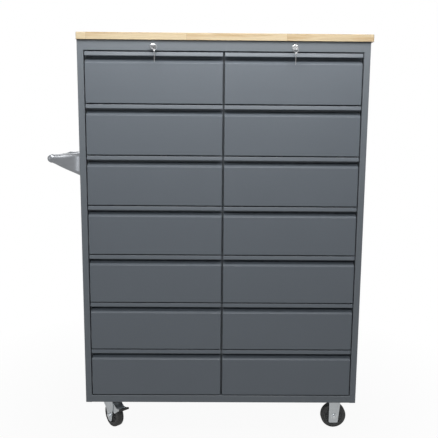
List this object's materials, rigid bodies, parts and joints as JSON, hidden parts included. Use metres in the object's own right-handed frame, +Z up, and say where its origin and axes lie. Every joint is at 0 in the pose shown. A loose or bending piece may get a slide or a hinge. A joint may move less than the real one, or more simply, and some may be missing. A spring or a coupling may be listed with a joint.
{
  "type": "rolling tool cabinet",
  "caption": "Upright steel drawer cabinet on casters with two columns of full-width-grip drawers, a wooden worktop, two locks and a push handle on one side.",
  "frame": {"origin": "on the floor, under the middle of the whole cabinet, with handle and keys included", "axes": "+Z up, the drawers face -Y, the push handle is on the -X side"},
  "size_m": [1.2044, 0.4955, 1.5335],
  "materials": {
    "body_paint": "satin powder coat, blue-grey",
    "drawer_paint": "satin powder coat, blue-grey",
    "tray_paint": "satin powder coat, blue-grey",
    "worktop_wood": "lacquered edge-glued boards",
    "zinc_steel": "zinc-plated steel",
    "lock_chrome": "chromed",
    "key_steel": "nickel-plated steel",
    "guide_nylon": "natural nylon",
    "handle_casting": "silver-painted casting",
    "handle_tube": "satin anodised tube",
    "wheel_tyre": "dark grey solid rubber on a grey hub"
  },
  "bodies": {
    "cabinet": {"side_panel_left": "body_paint", "side_panel_right": "body_paint", "back_panel": "body_paint", "top_panel": "body_paint", "base_panel": "body_paint", "centre_partition": "body_paint", "runner_posts": "zinc_steel", "fixed_runners": "zinc_steel", "worktop": "worktop_wood", "lock_housings": "lock_chrome", "lock_bar_guides": "guide_nylon", "handle_brackets": "handle_casting", "handle_bar": "handle_tube", "rigid_caster_forks": "zinc_steel", "swivel_caster_plates": "zinc_steel", "caster_bolts": "zinc_steel"},
    "drawer_left_1": {"drawer_left_1_front": "drawer_paint", "drawer_left_1_tray": "tray_paint"},
    "drawer_left_2": {"drawer_left_2_front": "drawer_paint", "drawer_left_2_tray": "tray_paint"},
    "drawer_left_3": {"drawer_left_3_front": "drawer_paint", "drawer_left_3_tray": "tray_paint"},
    "drawer_left_4": {"drawer_left_4_front": "drawer_paint", "drawer_left_4_tray": "tray_paint"},
    "drawer_left_5": {"drawer_left_5_front": "drawer_paint", "drawer_left_5_tray": "tray_paint"},
    "drawer_left_6": {"drawer_left_6_front": "drawer_paint", "drawer_left_6_tray": "tray_paint"},
    "drawer_left_7": {"drawer_left_7_front": "drawer_paint", "drawer_left_7_tray": "tray_paint"},
    "drawer_right_1": {"drawer_right_1_front": "drawer_paint", "drawer_right_1_tray": "tray_paint"},
    "drawer_right_2": {"drawer_right_2_front": "drawer_paint", "drawer_right_2_tray": "tray_paint"},
    "drawer_right_3": {"drawer_right_3_front": "drawer_paint", "drawer_right_3_tray": "tray_paint"},
    "drawer_right_4": {"drawer_right_4_front": "drawer_paint", "drawer_right_4_tray": "tray_paint"},
    "drawer_right_5": {"drawer_right_5_front": "drawer_paint", "drawer_right_5_tray": "tray_paint"},
    "drawer_right_6": {"drawer_right_6_front": "drawer_paint", "drawer_right_6_tray": "tray_paint"},
    "drawer_right_7": {"drawer_right_7_front": "drawer_paint", "drawer_right_7_tray": "tray_paint"},
    "lock_left": {"lock_plug_left": "lock_chrome"},
    "key_left": {"lock_key_left": "key_steel"},
    "spare_left": {"spare_key_left": "key_steel"},
    "lock_bar_left": {"lock_bar_left": "zinc_steel"},
    "lock_right": {"lock_plug_right": "lock_chrome"},
    "key_right": {"lock_key_right": "key_steel"},
    "spare_right": {"spare_key_right": "key_steel"},
    "lock_bar_right": {"lock_bar_right": "zinc_steel"},
    "swivel_front": {"swivel_fork_front": "zinc_steel"},
    "brake_front": {"brake_pedal_front": "zinc_steel"},
    "wheel_front_left": {"wheel_front_left": "wheel_tyre"},
    "wheel_front_right": {"wheel_front_right": "wheel_tyre"},
    "swivel_rear": {"swivel_fork_rear": "zinc_steel"},
    "brake_rear": {"brake_pedal_rear": "zinc_steel"},
    "wheel_rear_left": {"wheel_rear_left": "wheel_tyre"},
    "wheel_rear_right": {"wheel_rear_right": "wheel_tyre"}
  },
  "joints": [
    {"name": "drawer_left_1_slide", "type": "slide", "parent": "cabinet", "child": "drawer_left_1", "axis": [0, -1, 0], "range_m": [0, 0.35]},
    {"name": "drawer_left_2_slide", "type": "slide", "parent": "cabinet", "child": "drawer_left_2", "axis": [0, -1, 0], "range_m": [0, 0.35]},
    {"name": "drawer_left_3_slide", "type": "slide", "parent": "cabinet", "child": "drawer_left_3", "axis": [0, -1, 0], "range_m": [0, 0.35]},
    {"name": "drawer_left_4_slide", "type": "slide", "parent": "cabinet", "child": "drawer_left_4", "axis": [0, -1, 0], "range_m": [0, 0.35]},
    {"name": "drawer_left_5_slide", "type": "slide", "parent": "cabinet", "child": "drawer_left_5", "axis": [0, -1, 0], "range_m": [0, 0.35]},
    {"name": "drawer_left_6_slide", "type": "slide", "parent": "cabinet", "child": "drawer_left_6", "axis": [0, -1, 0], "range_m": [0, 0.35]},
    {"name": "drawer_left_7_slide", "type": "slide", "parent": "cabinet", "child": "drawer_left_7", "axis": [0, -1, 0], "range_m": [0, 0.35]},
    {"name": "drawer_right_1_slide", "type": "slide", "parent": "cabinet", "child": "drawer_right_1", "axis": [0, -1, 0], "range_m": [0, 0.35]},
    {"name": "drawer_right_2_slide", "type": "slide", "parent": "cabinet", "child": "drawer_right_2", "axis": [0, -1, 0], "range_m": [0, 0.35]},
    {"name": "drawer_right_3_slide", "type": "slide", "parent": "cabinet", "child": "drawer_right_3", "axis": [0, -1, 0], "range_m": [0, 0.35]},
    {"name": "drawer_right_4_slide", "type": "slide", "parent": "cabinet", "child": "drawer_right_4", "axis": [0, -1, 0], "range_m": [0, 0.35]},
    {"name": "drawer_right_5_slide", "type": "slide", "parent": "cabinet", "child": "drawer_right_5", "axis": [0, -1, 0], "range_m": [0, 0.35]},
    {"name": "drawer_right_6_slide", "type": "slide", "parent": "cabinet", "child": "drawer_right_6", "axis": [0, -1, 0], "range_m": [0, 0.35]},
    {"name": "drawer_right_7_slide", "type": "slide", "parent": "cabinet", "child": "drawer_right_7", "axis": [0, -1, 0], "range_m": [0, 0.35]},
    {"name": "lock_left_turn", "type": "hinge", "parent": "cabinet", "child": "lock_left", "pos_m": [-0.19225, -0.2175, 1.4865], "axis": [0, 1, 0], "range_deg": [0, 90]},
    {"name": "lock_bar_left_drop", "type": "slide", "parent": "cabinet", "child": "lock_bar_left", "axis": [0, 0, -1], "range_m": [0, 0.01202]},
    {"name": "key_left_pull", "type": "slide", "parent": "lock_left", "child": "key_left", "axis": [0, -1, 0], "range_m": [0, 0.03]},
    {"name": "spare_left_swing", "type": "hinge", "parent": "key_left", "child": "spare_left", "pos_m": [-0.19225, -0.2385, 1.4887], "axis": [1, 0, 0], "range_deg": [-20, 5]},
    {"name": "lock_right_turn", "type": "hinge", "parent": "cabinet", "child": "lock_right", "pos_m": [0.31975, -0.2175, 1.4865], "axis": [0, 1, 0], "range_deg": [-90, 0]},
    {"name": "lock_bar_right_drop", "type": "slide", "parent": "cabinet", "child": "lock_bar_right", "axis": [0, 0, -1], "range_m": [0, 0.01202]},
    {"name": "key_right_pull", "type": "slide", "parent": "lock_right", "child": "key_right", "axis": [0, -1, 0], "range_m": [0, 0.03]},
    {"name": "spare_right_swing", "type": "hinge", "parent": "key_right", "child": "spare_right", "pos_m": [0.31975, -0.2385, 1.4846], "axis": [1, 0, 0], "range_deg": [-90, 5]},
    {"name": "swivel_front", "type": "hinge", "parent": "cabinet", "child": "swivel_front", "pos_m": [-0.39025, -0.1255, 0.127], "axis": [0, 0, 1], "continuous": true},
    {"name": "wheel_front_left_spin", "type": "hinge", "parent": "swivel_front", "child": "wheel_front_left", "pos_m": [-0.36775, -0.15231, 0.05], "axis": [0.766, 0.6428, 0], "continuous": true},
    {"name": "brake_front_press", "type": "hinge", "parent": "swivel_front", "child": "brake_front", "pos_m": [-0.35811, -0.1638, 0.104], "axis": [0.766, 0.6428, 0], "range_deg": [0, 14.5]},
    {"name": "wheel_front_right_spin", "type": "hinge", "parent": "cabinet", "child": "wheel_front_right", "pos_m": [0.52075, -0.1515, 0.05], "axis": [0, 1, 0], "continuous": true},
    {"name": "swivel_rear", "type": "hinge", "parent": "cabinet", "child": "swivel_rear", "pos_m": [-0.39025, 0.1505, 0.127], "axis": [0, 0, 1], "continuous": true},
    {"name": "wheel_rear_left_spin", "type": "hinge", "parent": "swivel_rear", "child": "wheel_rear_left", "pos_m": [-0.36267, 0.12895, 0.05], "axis": [0.6157, 0.788, 0], "continuous": true},
    {"name": "brake_rear_press", "type": "hinge", "parent": "swivel_rear", "child": "brake_rear", "pos_m": [-0.35085, 0.11972, 0.104], "axis": [0.6157, 0.788, 0], "range_deg": [0, 14.5]},
    {"name": "wheel_rear_right_spin", "type": "hinge", "parent": "cabinet", "child": "wheel_rear_right", "pos_m": [0.52075, 0.1765, 0.05], "axis": [0, 1, 0], "continuous": true}
  ],
  "couplings": [
    {"joint": "lock_left_turn", "follows": "lock_bar_left_drop", "rad_per_m": 130.67},
    {"joint": "lock_right_turn", "follows": "lock_bar_right_drop", "rad_per_m": -130.67}
  ]
}
